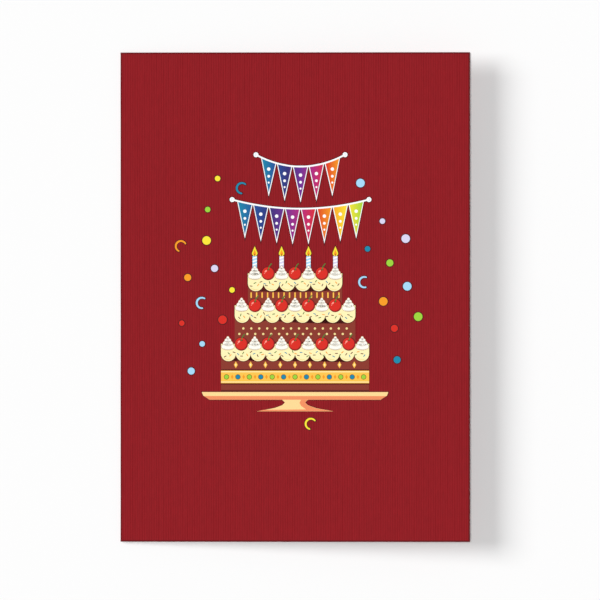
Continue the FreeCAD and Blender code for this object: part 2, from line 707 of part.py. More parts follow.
def make_print():
    """Fields of ink on the front cover, one piece for each colour, stacked where they overlap."""
    bodies = {}
    fields = {}
    for ink in INKS:
        bodies[ink] = new_piece(f"print_{ink}")
        fields[ink] = new_sketch(bodies[ink], "XY_Plane", "fields", print_lift(ink))
    draw_flags(fields)
    print_cake(bodies, fields)
    dots = []
    for number, (x, y) in enumerate(confetti_places(fields["white"])):
        ink = CONFETTI[number % len(CONFETTI)]
        if number % CURL_EVERY == 1:
            draw_curl(fields[ink], f"curl_{number}", x, y, CURL_TURN * number)
        else:
            dots.append((ink, x, y, f"Sizes.confetti_radius + Sizes.confetti_growth * {number % 3}"))
    for ink, body in bodies.items():
        if fields[ink].GeometryCount:
            pad(body, fields[ink], "Sizes.ink")
        stand(body, "Sizes.gape", "0", "Layout.print_z")
    print_cake_rounds(bodies)
    for dot in dots:
        print_round(bodies, *dot)


def make_paper_cake():
    """Everything that unfolds when the card is opened."""
    back_lift = "-Sizes.fold_radius + Sizes.glue"
    front_lift = "Sizes.fold_radius - Sizes.glue - Sizes.stock"
    make_board("back_cake_board", "0", back_lift)
    make_board("front_cake_board", "Sizes.gape", front_lift)
    make_lower_post()
    middle, tip = make_tier(
        "lower_tier", "Sizes.lower_side", "Layout.lower_reach", "Sizes.lower_height",
        "Layout.cover_start", "0", "Layout.half_gape")
    make_lid("lower_top", "Sizes.lower_side", "Sizes.lower_height", "Sizes.lower_crease_radius",
             "Layout.lower_top", middle)
    make_icing("lower_icing", "Sizes.lower_side", middle, tip, "Layout.lower_top")
    for sign, name in ((1, "lower_front_berries"), (-1, "lower_back_berries")):
        make_berry_row(name, "Sizes.lower_side", middle, "Layout.lower_top", sign)
    make_upper_post()
    lid_slope = "Layout.lower_top_run_1"
    lid_start = f"(Sizes.lower_crease_radius - Sizes.glue) / abs(cos({lid_slope}))"
    middle, tip = make_tier(
        "upper_tier", "Sizes.upper_side", "Layout.upper_foot", "Sizes.upper_height",
        lid_start, "Sizes.lower_height", lid_slope)
    make_lid("upper_top", "Sizes.upper_side", "Layout.upper_crease_out", "Sizes.upper_crease_radius",
             "Layout.upper_top", middle)
    make_icing("upper_icing", "Sizes.upper_side", middle, tip, "Layout.upper_top")
    for sign, name in ((1, "upper_front_berries"), (-1, "upper_back_berries")):
        make_berry_row(name, "Sizes.upper_side", middle, "Layout.upper_top", sign)
    for place, name in ((-1, "left_candle"), (0, "middle_candle"), (1, "right_candle")):
        make_candle(name, place)


def check_and_write():
    """Stop if anything failed, and then write one file for each piece."""
    doc.recompute()
    for item in doc.Objects:
        if "Invalid" in item.State or "Error" in item.State:
            raise RuntimeError(f"{item.Name} failed: {item.State}")
    for body in pieces:
        if body.Shape.isNull() or not body.Shape.isValid():
            raise RuntimeError(f"{body.Label} has no valid shape")
    os.makedirs("parts", exist_ok=True)
    for body in pieces:
        body.Shape.exportStep(f"parts/{body.Label}.step")


fill_sheet()
work_out_layout()
make_cover()
make_paper_cake()
make_print()
check_and_write()
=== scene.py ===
"""A closed pop-up greeting card: ribbed cover, printed front, paper cake inside, floor, light and camera."""
import math
import random

import bpy
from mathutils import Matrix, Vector


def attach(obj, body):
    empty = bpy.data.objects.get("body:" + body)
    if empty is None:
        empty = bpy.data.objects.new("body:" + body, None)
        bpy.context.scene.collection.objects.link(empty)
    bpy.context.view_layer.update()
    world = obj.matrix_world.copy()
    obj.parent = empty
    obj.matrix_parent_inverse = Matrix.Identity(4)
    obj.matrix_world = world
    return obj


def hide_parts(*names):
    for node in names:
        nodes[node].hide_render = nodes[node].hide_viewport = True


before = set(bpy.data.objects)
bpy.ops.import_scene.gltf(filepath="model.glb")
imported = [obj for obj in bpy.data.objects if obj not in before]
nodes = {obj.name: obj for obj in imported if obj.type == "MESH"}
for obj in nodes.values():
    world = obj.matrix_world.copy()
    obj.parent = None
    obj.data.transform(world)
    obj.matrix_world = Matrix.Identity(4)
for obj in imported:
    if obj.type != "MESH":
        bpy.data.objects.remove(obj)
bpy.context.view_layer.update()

MM = 0.001

# The cover as its solid has it, in millimetres and radians
CARD_HEIGHT = 177.8
BACK_LENGTH = 126.15
FRONT_LENGTH = 126.671
STOCK = 0.4
FOLD_X = -62.65
FOLD_Z = 0.85
FOLD_MIDDLE_RADIUS = 0.65
GAPE = math.radians(5)
PRINT_Z = 7.1845

# Ribs of the cover: pitch and depth in millimetres, points to a rib, the share by which grooves
# differ in depth, and the number of rows between which a groove's depth drifts
RIB_PITCH = 0.87
RIB_DEPTH = 0.13
RIB_STEPS = 4
RIB_UNEVEN = 0.5
DRIFT_ROWS = 20
COVER_SEED = 11

# Cut edges and fold of the cover: rounding, half the thickness left at an edge, and how far the
# painted shade along the cut edges and the fold reaches at full strength and at all, in millimetres
EDGE_ROUND = 0.14
EDGE_HALF = 0.01
EDGE_DARK = 0.42
EDGE_FADE = 0.7
FOLD_DARK = 0.45
FOLD_FADE = 0.8
# Share of the cover's colour that is left where the painted shade at the cut edges and the fold is full
EDGE_SHADE = 0.5
RIM = [EDGE_ROUND * share for share in (0, 0.1, 0.3, 0.6, 1)]

# Rows of the cover's mesh away from its ends, and where they begin
MIDDLE_ROWS = 24
END_ROOM = 3

# Heights of the layers of ink above the cover, in millimetres
INK_ROOT = -0.03
LINE_TOP = 0.012
BASE_TOP = 0.024
SHADE_TOP = 0.036
SECOND_TOP = 0.048
DETAIL_TOP = 0.06
THIRD_TOP = 0.072
SPOT_TOP = 0.084
HAIR = 0.004

# Inks, as they are printed
INKS = {
    "line": "4A0F14",
    "white": "FFFFFF",
    "chocolate": "863427",
    "bitter": "5A1512",
    "tan": "FFD894",
    "peach": "F09060",
    "cream": "FFF3B8",
    "butter": "F3DE96",
    "gold": "FFC44D",
    "red": "D8291D",
    "blush": "FF9C8C",
    "wine": "A01418",
    "piped_cream": "FFFDF4",
    "pearl": "E2DAC8",
    "pearl_line": "B98F63",
    "teal": "1486A8",
    "blue": "1F4E96",
    "indigo": "2E2C73",
    "purple": "6A2C8E",
    "magenta": "B0257A",
    "orange": "F59A1E",
    "yellow": "F8E436",
    "lime": "9AD13A",
    "leaf": "4B7A35",
    "lilac": "D9D4F0",
    "sky": "A5D8F5",
}

# Dyed cards, and the crumbs printed on one of them
CARDS = {
    "cover": "8B141C",
    "sponge": "7A3A2E",
    "crumb": "5A2A20",
    "pale_crumb": "C08A5A",
    "plain": "F4F1EA",
    "berry": "D2281C",
    "candle": "8CCBF0",
}

# Noises: grains a metre, detail, and stretch along X, Y and Z
CLOUDS = (260, 3)
FIBRES = (1500, 4, (1, 0.25, 1))
TOOTH = (5200, 2)
LANES = (2300, 2, (1, 0.12, 0.12))
DENSITY = (1900, 3)

# Bumps: distance in metres, and strength
FIBRE_BUMP = (0.00004, 0.35)
TOOTH_BUMP = (0.000015, 0.3)
RIB_BUMP = (0.00001, 0.6)
INK_TOOTH_BUMP = (0.00001, 0.3)

# Roughness and specular level
PAPER_GLOSS = (0.82, 0.12)
COVER_GLOSS = (0.6, 0.08)
INK_GLOSS = (0.62, 0.12)

# How far colours vary, as a share, and the parts of the noises' ranges that count
PAPER_MOTTLE = 0.05
INK_MOTTLE = 0.025
LANE_MOTTLE = 0.06
FIBRE_RANGE = (0.35, 0.65)
LANE_RANGE = (0.3, 0.7)

# Shares of the cloudy colour that fibres leave, from least to most
FIBRE_SHARES = (0.5, 1)

# Radians that a wave texture turns in a unit of length at a scale of 1, by its direction
WAVE_TURN = {"X": 20, "DIAGONAL": 10}


def linear(name):
    """A named colour as linear light."""
    code = INKS.get(name) or CARDS[name]
    channels = [int(code[place:place + 2], 16) / 255 for place in (0, 2, 4)]
    return [c / 12.92 if c <= 0.04045 else ((c + 0.055) / 1.055) ** 2.4 for c in channels] + [1.0]


def scaled(colour, share):
    """A colour with its light scaled."""
    return [channel * share for channel in colour[:3]] + [1.0]


def shader(name, roughness, specular):
    """A new material, its node tree and its surface shader."""
    material = bpy.data.materials.new(name)
    material.use_nodes = True
    tree = material.node_tree
    surface = tree.nodes["Principled BSDF"]
    surface.inputs["Roughness"].default_value = roughness
    surface.inputs["Specular IOR Level"].default_value = specular
    return material, tree, surface


def place_in_frame(tree, stretch=None):
    """The place in the row frame, in metres. It may be stretched along X, Y and Z."""
    place = tree.nodes.new("ShaderNodeTexCoord").outputs["Object"]
    if not stretch:
        return place
    mapping = tree.nodes.new("ShaderNodeMapping")
    mapping.inputs["Scale"].default_value = stretch
    tree.links.new(place, mapping.inputs["Vector"])
    return mapping.outputs["Vector"]


def place_across(tree):
    """The place along the row frame's X, in metres."""
    parts = tree.nodes.new("ShaderNodeSeparateXYZ")
    tree.links.new(place_in_frame(tree), parts.inputs["Vector"])
    return parts.outputs["X"]


def noise(tree, scale, detail, stretch=None):
    """Noise in the row frame, with a scale in grains a metre."""
    texture = tree.nodes.new("ShaderNodeTexNoise")
    texture.inputs["Scale"].default_value = scale
    texture.inputs["Detail"].default_value = detail
    tree.links.new(place_in_frame(tree, stretch), texture.inputs["Vector"])
    return texture.outputs["Fac"]


def waves(tree, direction, pitch):
    """Waves in the row frame, with a pitch in millimetres."""
    wave = tree.nodes.new("ShaderNodeTexWave")
    wave.bands_direction = direction
    wave.inputs["Scale"].default_value = math.tau / WAVE_TURN[direction] / (pitch * MM)
    tree.links.new(place_in_frame(tree), wave.inputs["Vector"])
    return wave.outputs["Fac"]


def blend_colours(tree, share, first, second):
    """Mix two colours by a share. Either colour may be a socket."""
    mix = tree.nodes.new("ShaderNodeMix")
    mix.data_type = "RGBA"
    tree.links.new(share, mix.inputs["Factor"])
    for socket, colour in ((mix.inputs[6], first), (mix.inputs[7], second)):
        if isinstance(colour, bpy.types.NodeSocket):
            tree.links.new(colour, socket)
        else:
            socket.default_value = colour
    return mix.outputs[2]


def mottled(tree, share, colour, mottle):
    """A colour that turns from darker to paler by a share."""
    return blend_colours(tree, share, scaled(colour, 1 - mottle), scaled(colour, 1 + mottle))


def spread(tree, value, low, high, to_low=0.0, to_high=1.0):
    """Map a value's range onto another range, and stop at its ends."""
    node = tree.nodes.new("ShaderNodeMapRange")
    tree.links.new(value, node.inputs["Value"])
    for name, number in (("From Min", low), ("From Max", high), ("To Min", to_low), ("To Max", to_high)):
        node.inputs[name].default_value = number
    return node.outputs["Result"]


def bump(tree, surface, heights):
    """Stack bumps under a surface. Each is a height socket, a distance in metres and a strength."""
    normal = None
    for height, distance, strength in heights:
        node = tree.nodes.new("ShaderNodeBump")
        node.inputs["Distance"].default_value = distance
        node.inputs["Strength"].default_value = strength
        tree.links.new(height, node.inputs["Height"])
        if normal:
            tree.links.new(normal, node.inputs["Normal"])
        normal = node.outputs["Normal"]
    tree.links.new(normal, surface.inputs["Normal"])


def paper_material(name, colour, pattern=None, gloss=PAPER_GLOSS):
    """Dyed card: cloudy colour, long fibres and a fine tooth. A pattern is laid over it: print, or on the
    cover, lanes and painted shade.
    """
    material, tree, surface = shader(name, *gloss)
    fibres = noise(tree, *FIBRES)
    cloudy = mottled(tree, noise(tree, *CLOUDS), colour, PAPER_MOTTLE)
    pale = spread(tree, fibres, *FIBRE_RANGE, *FIBRE_SHARES)
    shade = blend_colours(tree, pale, scaled(colour, 1 - PAPER_MOTTLE), cloudy)
    if pattern:
        shade = pattern(tree, shade)
    tree.links.new(shade, surface.inputs["Base Color"])
    bump(tree, surface, [(fibres, *FIBRE_BUMP), (noise(tree, *TOOTH), *TOOTH_BUMP)])
    return material


def ribs_and_painted_edge_shade(tree, shade):
    """Paler and darker lanes along the ribs, and painted shade at the cut edges and the fold."""
    lanes = spread(tree, noise(tree, *LANES), *LANE_RANGE, 1 - LANE_MOTTLE, 1 + LANE_MOTTLE)
    dimmed = tree.nodes.new("ShaderNodeVectorMath")
    dimmed.operation = "SCALE"
    tree.links.new(shade, dimmed.inputs["Vector"])
    tree.links.new(lanes, dimmed.inputs["Scale"])
    # Painted shade: the cover's colour is darkened near its cut edges and along the fold, by the edge
    # attribute
    painted_edge_shade = tree.nodes.new("ShaderNodeAttribute")
    painted_edge_shade.attribute_name = "edge"
    dark = scaled(linear("cover"), EDGE_SHADE)
    return blend_colours(tree, painted_edge_shade.outputs["Fac"], dimmed.outputs["Vector"], dark)


def ink_bumps(tree, surface):
    """The cover's ribs and tooth, faint under a film of ink."""
    ribs = waves(tree, "X", RIB_PITCH)
    bump(tree, surface, [(ribs, *RIB_BUMP), (noise(tree, *TOOTH), *INK_TOOTH_BUMP)])


def ink_material(name):
    """A flat printed colour with slightly uneven density."""
    material, tree, surface = shader(f"{name}_ink", *INK_GLOSS)
    shade = mottled(tree, noise(tree, *DENSITY), linear(name), INK_MOTTLE)
    tree.links.new(shade, surface.inputs["Base Color"])
    ink_bumps(tree, surface)
    return material


def gradient_material(name, names, start, end):
    """A printed gradient across the card, through inks by name, between two places in millimetres."""
    material, tree, surface = shader(f"{name}_ink", *INK_GLOSS)
    ramp = tree.nodes.new("ShaderNodeValToRGB")
    stops = ramp.color_ramp.elements
    while len(stops) < len(names):
        stops.new(0.5)
    for number, ink in enumerate(names):
        stops[number].position = number / (len(names) - 1)
        stops[number].color = linear(ink)
    tree.links.new(spread(tree, place_across(tree), start * MM, end * MM), ramp.inputs["Fac"])
    tree.links.new(ramp.outputs["Color"], surface.inputs["Base Color"])
    ink_bumps(tree, surface)
    return material


def add_piece(name, points, faces, materials, face_materials=None, smooth=False):
    """A mesh that rides with the card. Points are in millimetres."""
    mesh = bpy.data.meshes.new(name)
    mesh.from_pydata([[c * MM for c in point] for point in points], [], faces)
    for material in materials:
        mesh.materials.append(material)
    if face_materials:
        mesh.polygons.foreach_set("material_index", face_materials)
    mesh.polygons.foreach_set("use_smooth", [smooth] * len(mesh.polygons))
    mesh.validate()
    mesh.update()
    piece = bpy.data.objects.new(name, mesh)
    bpy.context.scene.collection.objects.link(piece)
    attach(piece, "root")
    return piece


# Cover
def cover_stations():
    """Places along the folded sheet, from the back cover's free edge round the fold to the front's.
    Each has the middle of the sheet, its outward normal, the run so far and the room to a free edge."""
    arc_angle = math.pi - GAPE
    outer_arc = arc_angle * (FOLD_MIDDLE_RADIUS + STOCK / 2)
    total = BACK_LENGTH + outer_arc + FRONT_LENGTH
    step = RIB_PITCH / RIB_STEPS
    runs = [number * step for number in range(1, int(total / step))]
    runs = [run for run in runs if EDGE_ROUND < run < total - EDGE_ROUND]
    runs = RIM + runs + [total - run for run in reversed(RIM)]
    stations = []
    for run in runs:
        if run < BACK_LENGTH:
            middle = (FOLD_X + BACK_LENGTH - run, FOLD_Z - FOLD_MIDDLE_RADIUS)
            normal = (0, -1)
        elif run < BACK_LENGTH + outer_arc:
            angle = -math.pi / 2 - (run - BACK_LENGTH) / outer_arc * arc_angle
            normal = (math.cos(angle), math.sin(angle))
            middle = (FOLD_X + FOLD_MIDDLE_RADIUS * normal[0], FOLD_Z + FOLD_MIDDLE_RADIUS * normal[1])
        else:
            normal = (-math.sin(GAPE), math.cos(GAPE))
            out = run - BACK_LENGTH - outer_arc
            middle = (FOLD_X + FOLD_MIDDLE_RADIUS * normal[0] + out * normal[1],
                      FOLD_Z + FOLD_MIDDLE_RADIUS * normal[1] - out * normal[0])
        stations.append((middle, normal, run, min(run, total - run)))
    return stations


def cover_rows():
    """Places along the card's height, close together near both ends."""
    half = CARD_HEIGHT / 2
    rooms = RIM + [EDGE_DARK, EDGE_FADE]
    step = 2 * (half - END_ROOM) / (MIDDLE_ROWS - 1)
    middle = [-half + END_ROOM + step * number for number in range(MIDDLE_ROWS)]
    return [-half + room for room in rooms] + middle + [half - room for room in reversed(rooms)]


def rounding(room):
    """How far a face draws in near a free edge, so that the edge is round."""
    if room >= EDGE_ROUND:
        return 0
    return EDGE_ROUND - math.sqrt(EDGE_ROUND ** 2 - (EDGE_ROUND - room) ** 2)


def rib_strength(drift, run, share):
    """How deep the groove is here. It drifts slowly along each groove and differs from groove to groove."""
    groove = int(run / RIB_PITCH)
    place = share * (DRIFT_ROWS - 1)
    row = min(int(place), DRIFT_ROWS - 2)
    blend = place - row
    value = drift[row][groove] * (1 - blend) + drift[row + 1][groove] * blend
    return 1 + RIB_UNEVEN * (2 * value - 1)


def cover_points(stations, rows, drift):
    """The points of the outer and the inner face, row by row, and how much painted shade each has near the
    cut edges and the fold.
    """
    half = CARD_HEIGHT / 2
    points = []
    darkness = []
    for y in rows:
        room_y = half - abs(y)
        for side in (1, -1):
            for middle, normal, run, room in stations:
                draw_in = min(STOCK / 2 - EDGE_HALF, math.hypot(rounding(room), rounding(room_y)))
                relief = 0
                if side > 0:
                    fade = min(1, room / EDGE_FADE, room_y / EDGE_FADE)
                    relief = RIB_DEPTH / 2 * (1 - math.cos(math.tau * run / RIB_PITCH))
                    relief *= fade * rib_strength(drift, run, (y + half) / CARD_HEIGHT)
                offset = side * (STOCK / 2 - draw_in - relief)
                x = middle[0] + normal[0] * offset
                points.append((x, y, middle[1] + normal[1] * offset))
                # Painted shade: full near the cut edges and the fold, and gone a little further in
                fold_room = x - FOLD_X + FOLD_MIDDLE_RADIUS + STOCK / 2
                dark = max((EDGE_FADE - min(room, room_y)) / (EDGE_FADE - EDGE_DARK),
                           (FOLD_FADE - fold_room) / (FOLD_FADE - FOLD_DARK))
                darkness.append(max(0, min(1, dark)))
    return points, darkness


def cover_faces(row_count, count):
    """Both faces of the sheet, then its free edges along the card, then those at its ends."""
    faces = []
    for row in range(row_count - 1):
        for side in range(2):
            start = (2 * row + side) * count
            above = start + 2 * count
            for place in range(count - 1):
                face = (start + place, start + place + 1, above + place + 1, above + place)
                faces.append(face if side else face[::-1])
    for row in range(row_count - 1):
        for place in (0, count - 1):
            outer, inner = 2 * row * count + place, (2 * row + 1) * count + place
            face = (outer, inner, inner + 2 * count, outer + 2 * count)
            faces.append(face if place == 0 else face[::-1])
    for row in (0, row_count - 1):
        for place in range(count - 1):
            outer, inner = 2 * row * count + place, (2 * row + 1) * count + place
            face = (outer, outer + 1, inner + 1, inner)
            faces.append(face if row == 0 else face[::-1])
    return faces


def build_cover():
    """The folded sheet, ribbed outside, with softened cut edges."""
    stations = cover_stations()
    rows = cover_rows()
    grooves = int(stations[-1][2] / RIB_PITCH) + 2
    draw = random.Random(COVER_SEED)
    drift = [[draw.random() for _ in range(grooves)] for _ in range(DRIFT_ROWS)]
    points, darkness = cover_points(stations, rows, drift)
    faces = cover_faces(len(rows), len(stations))
    cover_card = paper_material("ribbed_card", linear("cover"), ribs_and_painted_edge_shade, COVER_GLOSS)
    piece = add_piece("ribbed_cover", points, faces, [cover_card], smooth=True)
    # The edge attribute holds how much painted shade darkens the cover near its cut edges and the fold
    painted_edge_shade = piece.data.attributes.new("edge", "FLOAT", "POINT")
    painted_edge_shade.data.foreach_set("value", darkness)
    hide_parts("card_cover")


# Outlines of the print, in millimetres, with u or x to the right and v or y up the front cover
def on_cover(u, v, lift):
    """A point above the front cover's outer face."""
    c, s = math.cos(GAPE), math.sin(GAPE)
    return u * c - lift * s, v, PRINT_Z + u * s + lift * c


def ellipse(u, v, radius_u, radius_v=None, turn=0.0, count=40):
    """An oval outline, turned by an angle in degrees."""
    radius_v = radius_u if radius_v is None else radius_v
    c, s = math.cos(math.radians(turn)), math.sin(math.radians(turn))
    corners = []
    for number in range(count):
        angle = math.tau * number / count
        x, y = radius_u * math.cos(angle), radius_v * math.sin(angle)
        corners.append((u + x * c - y * s, v + x * s + y * c))
    return corners


def arc(u, v, radius, start, end, count):
    """Points along an arc, angles in degrees."""
    angles = [math.radians(start + (end - start) * n / count) for n in range(count + 1)]
    return [(u + radius * math.cos(a), v + radius * math.sin(a)) for a in angles]


def lozenge(x, y, half_width, half_height):
    """A diamond outline."""
    return [(x + half_width, y), (x, y + half_height), (x - half_width, y), (x, y - half_height)]


def box(left, bottom, right, top):
    """A rectangle outline."""
    return [(left, bottom), (right, bottom), (right, top), (left, top)]


def flame(x, y, radius, height):
    """A drop that points up."""
    half_angle = math.degrees(math.asin(radius / height))
    return [(x, y + height)] + arc(x, y, radius, 180 - half_angle, 360 + half_angle, 22)


def mirrored(side):
    """An outline from its right side, whose mirror image is the left side."""
    return [(-x, y) for x, y in side] + side[::-1]


def even(share):
    """A stroke of one width."""
    return 1


def swelling(share):
    """A stroke that swells in the middle."""
    return 0.3 + math.sin(math.pi * share)


def stroke(path, width, taper=even):
    """A line of a given width along a path, with round ends."""
    left, right = [], []
    last = len(path) - 1
    for number, (x, y) in enumerate(path):
        before = path[max(0, number - 1)]
        after = path[min(last, number + 1)]
        dx, dy = after[0] - before[0], after[1] - before[1]
        length = math.hypot(dx, dy)
        half = width / 2 * taper(number / last)
        left.append((x - dy / length * half, y + dx / length * half))
        right.append((x + dy / length * half, y - dx / length * half))
    caps = []
    for end, near, share in ((path[-1], path[-2], 1), (path[0], path[1], 0)):
        heading = math.degrees(math.atan2(end[1] - near[1], end[0] - near[0]))
        caps.append(arc(*end, width / 2 * taper(share), heading + 90, heading - 90, 8)[1:-1])
    return (left + caps[0] + right[::-1] + caps[1])[::-1]


def grown(corners, border):
    """An anticlockwise outline moved outwards, with mitred corners."""
    moved = []
    count = len(corners)
    for number, (x, y) in enumerate(corners):
        normals = []
        for a, b in ((corners[number - 1], (x, y)), ((x, y), corners[(number + 1) % count])):
            dx, dy = b[0] - a[0], b[1] - a[1]
            length = math.hypot(dx, dy) or 1
            normals.append((dy / length, -dx / length))
        nx, ny = normals[0][0] + normals[1][0], normals[0][1] + normals[1][1]
        reach = max(0.25, (nx * nx + ny * ny) / 2)
        moved.append((x + nx / reach * border, y + ny / reach * border))
    return moved


class Print:
    """Fields of ink gathered into one mesh for each piece."""

    def __init__(self):
        self.sheets = {}

    def stamp(self, piece, material, corners, top):
        """One closed field with the given outline, from below the cover's face to a height above it."""
        points, faces, looks, materials = self.sheets.setdefault(piece, ([], [], [], []))
        if material not in materials:
            materials.append(material)
        area = sum(a[0] * b[1] - b[0] * a[1] for a, b in zip(corners, corners[1:] + corners[:1]))
        if area < 0:
            corners = corners[::-1]
        start = len(points)
        count = len(corners)
        points += [on_cover(u, v, top) for u, v in corners]
        points += [on_cover(u, v, INK_ROOT) for u, v in corners]
        upper = list(range(start, start + count))
        lower = list(range(start + count, start + 2 * count))
        faces += [upper, lower[::-1]]
        for n in range(count):
            after = (n + 1) % count
            faces.append((lower[n], lower[after], upper[after], upper[n]))
        looks += [materials.index(material)] * (count + 2)

    def finish(self, inks):
        """Turn every sheet of fields into a piece."""
        for piece, (points, faces, looks, materials) in self.sheets.items():
            made = add_piece(f"{piece}_print", points, faces, [inks[m] for m in materials], looks)
            if f"print_{piece}" in nodes:
                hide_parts(f"print_{piece}")


# Bunting. A row has a name, its pennants' colours, the height of its ends and its gradient
RAINBOW = ["teal", "blue", "indigo", "purple", "magenta", "red", "orange", "yellow", "lime"]
UPPER_FLAGS = ["teal", "blue", "indigo", "magenta", "red"]
LOWER_FLAGS = ["teal", "blue", "indigo", "purple", "magenta", "red", "orange", "yellow"]
ROWS = (("upper", UPPER_FLAGS, 49.5, RAINBOW[:7]), ("lower", LOWER_FLAGS, 34.2, RAINBOW))
FLAG_WIDTH, FLAG_DROP, FLAG_BORDER, FLAG_PITCH, FLAG_SAG = 5.0, 11.5, 0.3, 5.8, 2.2
FLAG_MIDDLE = 2.0
FLAG_SPOTS = ((3.0, 0.62), (5.6, 0.5), (7.9, 0.36))
CORD_PAST = 0.8 * FLAG_PITCH
CORD_RISE, CORD_STEPS = 0.1, 60
CORD_WIDTH, CORD_LINE_WIDTH = 0.6, 1.0
KNOB_RADIUS, KNOB_LINE_RADIUS, KNOB_CORE_RADIUS = 0.9, 1.15, 0.45
LINE = 0.22


def cord_height(out, ends, top):
    """Height of a row's cord at a distance out from its middle, where its outermost pennants hang
    at the ends."""
    return top - FLAG_SAG * (1 - (out / ends) ** 2)


def cord(sheet, ends, top):
    """A row's cord, with a knob at each end."""
    reach = ends + CORD_PAST
    outs = [-reach + 2 * reach * number / CORD_STEPS for number in range(CORD_STEPS + 1)]
    path = [(FLAG_MIDDLE + out, cord_height(out, ends, top) + CORD_RISE) for out in outs]
    sheet.stamp("line", "line", stroke(path, CORD_LINE_WIDTH), LINE_TOP)
    sheet.stamp("white", "white", stroke(path, CORD_WIDTH), THIRD_TOP)
    for end in (path[0], path[-1]):
        sheet.stamp("line", "line", ellipse(*end, KNOB_LINE_RADIUS), LINE_TOP)
        sheet.stamp("white", "white", ellipse(*end, KNOB_RADIUS), BASE_TOP)
        sheet.stamp("white", "sky", ellipse(*end, KNOB_CORE_RADIUS), SHADE_TOP)


def pennant(out, ends, top, border):
    """One pennant's outline, with its top edge along the cord and its tip straight below its middle."""
    lean = math.atan2(FLAG_WIDTH / 2, FLAG_DROP)
    half = FLAG_WIDTH / 2 + border * (1 / math.cos(lean) + math.tan(lean))
    tip = cord_height(out, ends, top) - FLAG_DROP - border / math.sin(lean)
    left, right = (cord_height(out + side * half, ends, top) + border for side in (-1, 1))
    return [(FLAG_MIDDLE + out - half, left), (FLAG_MIDDLE + out, tip), (FLAG_MIDDLE + out + half, right)]


def bunting(sheet):
    """Two rows of pennants on a cord, each white-edged and filled with a rainbow gradient."""
    for name, flags, top, _ in ROWS:
        middle = (len(flags) - 1) / 2
        ends = middle * FLAG_PITCH
        cord(sheet, ends, top)
        for number, colour in enumerate(flags):
            out = (number - middle) * FLAG_PITCH
            sheet.stamp("line", "line", pennant(out, ends, top, FLAG_BORDER + LINE), LINE_TOP)
            sheet.stamp("white", "white", pennant(out, ends, top, FLAG_BORDER), BASE_TOP)
            sheet.stamp(colour, f"{name}_rainbow", pennant(out, ends, top, 0), SECOND_TOP)
            for drop, size in FLAG_SPOTS:
                spot = ellipse(FLAG_MIDDLE + out, cord_height(out, ends, top) - drop, size, count=24)
                sheet.stamp("white", "white", spot, THIRD_TOP)


# Printed cake. A tier has its half width, its foot and its top
CAKE_FOOT = -34.5
TIERS = ((27.0, -34.5, -17.0), (22.0, -17.0, -3.0), (17.2, -3.0, 8.6))
BOTTOM_HALF = TIERS[0][0]
TIER_SHADE_HEIGHT = 0.75
INSET = 0.02
SCALLOP_PITCH, SCALLOP_DROP = 5.4, 3.6
SCALLOP_LINE, SHINE_ROOM, SHINE_WIDTH = 0.26, 0.55, 0.3

# Stand: its half widths and their depths below the cake, then its shaded parts and its bright strip
PLATE_HALF, PLATE_DEPTH, STAND_FOOT_HALF, STAND_DEPTH, STEM_HALF = 34.0, 2.8, 14.0, 7.0, 4.7
STAND = [
    (PLATE_HALF, 0), (PLATE_HALF - 0.5, 1.3), (PLATE_HALF - PLATE_DEPTH, PLATE_DEPTH),
    (STEM_HALF, PLATE_DEPTH), (STEM_HALF - 1.0, 3.8), (STEM_HALF, 4.8), (STEM_HALF + 2.8, 5.8),
    (STAND_FOOT_HALF, STAND_DEPTH)]
PLATE_SHADE = [(PLATE_HALF - 0.7, 1.45), (PLATE_HALF - PLATE_DEPTH, PLATE_DEPTH - INSET)]
STEM_SHADE = [
    (STEM_HALF - 0.1, PLATE_DEPTH + INSET), (STEM_HALF - 1.05, 3.8), (STEM_HALF - 0.1, 4.8),
    (STEM_HALF + 2.7, 5.85), (STAND_FOOT_HALF - 0.4, STAND_DEPTH - 0.05),
    (0.4 - STAND_FOOT_HALF, STAND_DEPTH - 0.05), (2.6 - STAND_FOOT_HALF, STAND_DEPTH - 0.55),
    (4, 6.3), (2.2, 5.0), (1.6, 3.9), (2.2, PLATE_DEPTH + INSET)]
PLATE_SHINE = box(3 - PLATE_HALF, 1.15, PLATE_HALF - 9, 0.75)

# Band round the bottom tier
BAND_FOOT, BAND_HEIGHT, BAND_LINE = 3.2, 4.6, 0.5
BAND_DOT, BAND_DOT_LINE, BAND_PITCH, BAND_MARGIN = 0.8, 0.16, 4.0, 1.2
BAND_STRIPE_ROOM, BAND_STRIPE_HALF = 0.45, 0.14
BAND_DIAMOND = (0.5, 0.85)

# Ornaments: gold diamonds, pale dots and gold bars, from the bottom tier up
DIAMOND_Y, DIAMOND, DIAMOND_CORE = -24.6, (0.7, 1.25), (0.28, 0.55)
DOT_ROWS, DOT_PITCH, DOT_RADIUS = (-13.4, -11.4), 2.9, 0.42
BAR_FOOT, BAR_TOP, BAR_PITCH, BAR_WIDTH = -0.1, 1.5, 2.0, 0.5

# Cherries: outline, dark side, highlights, and a stalk from its foot
CHERRY_RADIUS, CHERRY_PITCH, CHERRY_MARGIN = 2.3, 4.8, 0.2
CHERRY_LINE, CHERRY_SHIFT, CHERRY_DARK = 0.18, 0.14, 0.2
CHERRY_SHINES = ((-0.85, 0.8, 0.55, 0.3, 45, 24), (-1.3, 0.05, 0.16, 0.16, 0, 16))
STALK_FOOT, STALK_BEND, STALK_HEIGHT, STALK_WIDTH = (0.1, 1.3), 1.1, 2.2, 0.36
DIMPLE = (0.5, 0.22)

# Piped cream: each turn's height, the share of its half width, and its half height
ROSETTE_TURNS = ((-1.0, 1, 1.2), (0.15, 0.78, 1.05), (1.2, 0.5, 0.85), (2.05, 0.2, 0.65))
ROSETTE_LINE, GROOVE_SHARE, GROOVE_WIDTH = 0.14, 0.86, 0.26

# Sprinkles
SPRINKLE_INKS = ("bitter", "leaf", "orange", "bitter", "teal")
SPRINKLE_HALF, SPRINKLE_WIDTH, SPRINKLE_LEAN = 0.38, 0.3, 70
SPRINKLES_A_MM = 1.7
SPRINKLE_ROOMS = (0.8, 1.0, 0.5)
GOLDEN_SHARE = 0.618034

